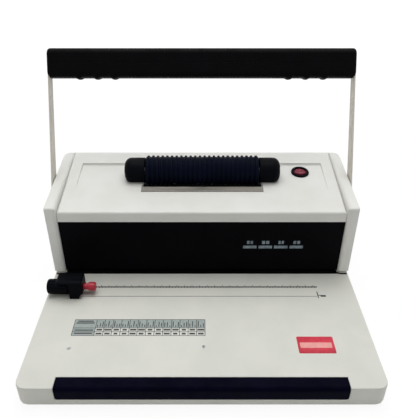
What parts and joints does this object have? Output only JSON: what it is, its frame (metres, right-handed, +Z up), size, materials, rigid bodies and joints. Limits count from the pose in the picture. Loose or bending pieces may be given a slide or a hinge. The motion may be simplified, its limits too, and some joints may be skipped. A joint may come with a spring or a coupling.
{
  "type": "coil binding machine",
  "caption": "Tabletop machine that punches a row of holes along a stack of paper when its U-shaped handle is pulled, and spins a plastic coil into them with a driven ribbed roller.",
  "frame": {"origin": "on the surface that it stands on, under the middle of its bounding box", "axes": "+X to the machine's right as seen from its front, +Y to the rear, +Z up"},
  "size_m": [0.4142, 0.341, 0.2981],
  "materials": {
    "cover_paint": "satin light warm grey paint",
    "grey_paint": "satin grey paint",
    "arm_paint": "satin grey paint",
    "black_paint": "satin black paint",
    "black_plastic": "moulded satin black",
    "red_plastic": "moulded glossy red",
    "rubber": "matt black rubber",
    "bronze": "turned bearing bronze",
    "tool_steel": "ground and hardened",
    "steel": "plain zinc-plated steel"
  },
  "bodies": {
    "base": {"table_cover": "cover_paint", "base_plate": "grey_paint", "foot_front_left": "rubber", "foot_front_right": "rubber", "foot_rear_left": "rubber", "foot_rear_right": "rubber", "drawer_runner_right": "steel", "drawer_runner_left": "steel", "side_cover_right": "cover_paint", "side_cover_left": "cover_paint", "cover_screw_front_right": "steel", "cover_screw_front_left": "steel", "cover_screw_rear_right": "steel", "cover_screw_rear_left": "steel", "top_cover": "cover_paint", "front_panel": "black_paint", "rear_cover": "cover_paint", "mains_inlet": "black_plastic", "side_frame_right": "steel", "side_frame_left": "steel", "tie_front": "steel", "tie_rear": "steel", "die_plate": "tool_steel", "stripper_plate": "tool_steel", "paper_stop": "steel", "shaft_bush_right": "bronze", "shaft_bush_left": "bronze", "stop_pin": "steel", "guide_body": "black_plastic", "inserter_housing_right": "black_plastic", "inserter_housing_left": "black_plastic", "roller_bush_right": "bronze", "roller_bush_left": "bronze", "drive_belt": "rubber", "motor_body": "black_paint", "motor_bracket": "steel", "shelf_plate": "steel", "switch_bezel": "black_plastic"},
    "handle": {"handle_shaft": "steel", "handle_arm_left": "arm_paint", "handle_arm_right": "arm_paint", "pivot_bolt_left": "steel", "pivot_bolt_right": "steel", "handle_grip": "black_plastic", "pinion_left": "tool_steel", "pinion_right": "tool_steel", "stop_collar": "steel"},
    "punch": {"punch_beam": "tool_steel", "rack_left": "tool_steel", "rack_right": "tool_steel"},
    "drawer": {"chip_drawer": "grey_paint", "drawer_front": "black_plastic"},
    "roller": {"inserter_roller": "rubber", "roller_shaft": "steel", "roller_pulley": "black_plastic"},
    "motor_rotor": {"motor_shaft": "steel", "motor_pulley": "black_plastic"},
    "rocker": {"switch_rocker": "red_plastic"},
    "guide_screw": {"guide_knob": "black_plastic"},
    "guide_slider": {"guide_stop": "red_plastic"}
  },
  "joints": [
    {"name": "handle_hinge", "type": "hinge", "parent": "base", "child": "handle", "pos_m": [0, 0.06273, 0.085], "axis": [1, 0, 0], "range_deg": [0, 95]},
    {"name": "punch_slide", "type": "slide", "parent": "base", "child": "punch", "axis": [0, 0, -1], "range_m": [0, 0.0125]},
    {"name": "drawer_slide", "type": "slide", "parent": "base", "child": "drawer", "axis": [0, -1, 0], "range_m": [0, 0.18]},
    {"name": "roller_spin", "type": "hinge", "parent": "base", "child": "roller", "pos_m": [0, 0.09673, 0.14869], "axis": [1, 0, 0], "continuous": true},
    {"name": "motor_spin", "type": "hinge", "parent": "base", "child": "motor_rotor", "pos_m": [0, 0.10076, 0.09599], "axis": [1, 0, 0], "continuous": true},
    {"name": "rocker_hinge", "type": "hinge", "parent": "base", "child": "rocker", "pos_m": [0.1372, 0.10729, 0.14011], "axis": [1, 0, 0], "range_deg": [0, 18]},
    {"name": "guide_screw_turn", "type": "hinge", "parent": "base", "child": "guide_screw", "pos_m": [-0.19, -0.01927, 0.0412], "axis": [1, 0, 0], "range_deg": [-360, 360]},
    {"name": "guide_slide", "type": "slide", "parent": "base", "child": "guide_slider", "axis": [-1, 0, 0], "range_m": [-0.00155, 0.00155]}
  ],
  "couplings": [
    {"joint": "punch_slide", "follows": "handle_hinge", "m_per_rad": 0.0075},
    {"joint": "motor_spin", "follows": "roller_spin", "ratio": 1.5},
    {"joint": "guide_slide", "follows": "guide_screw_turn", "m_per_rad": 0.00023873}
  ]
}
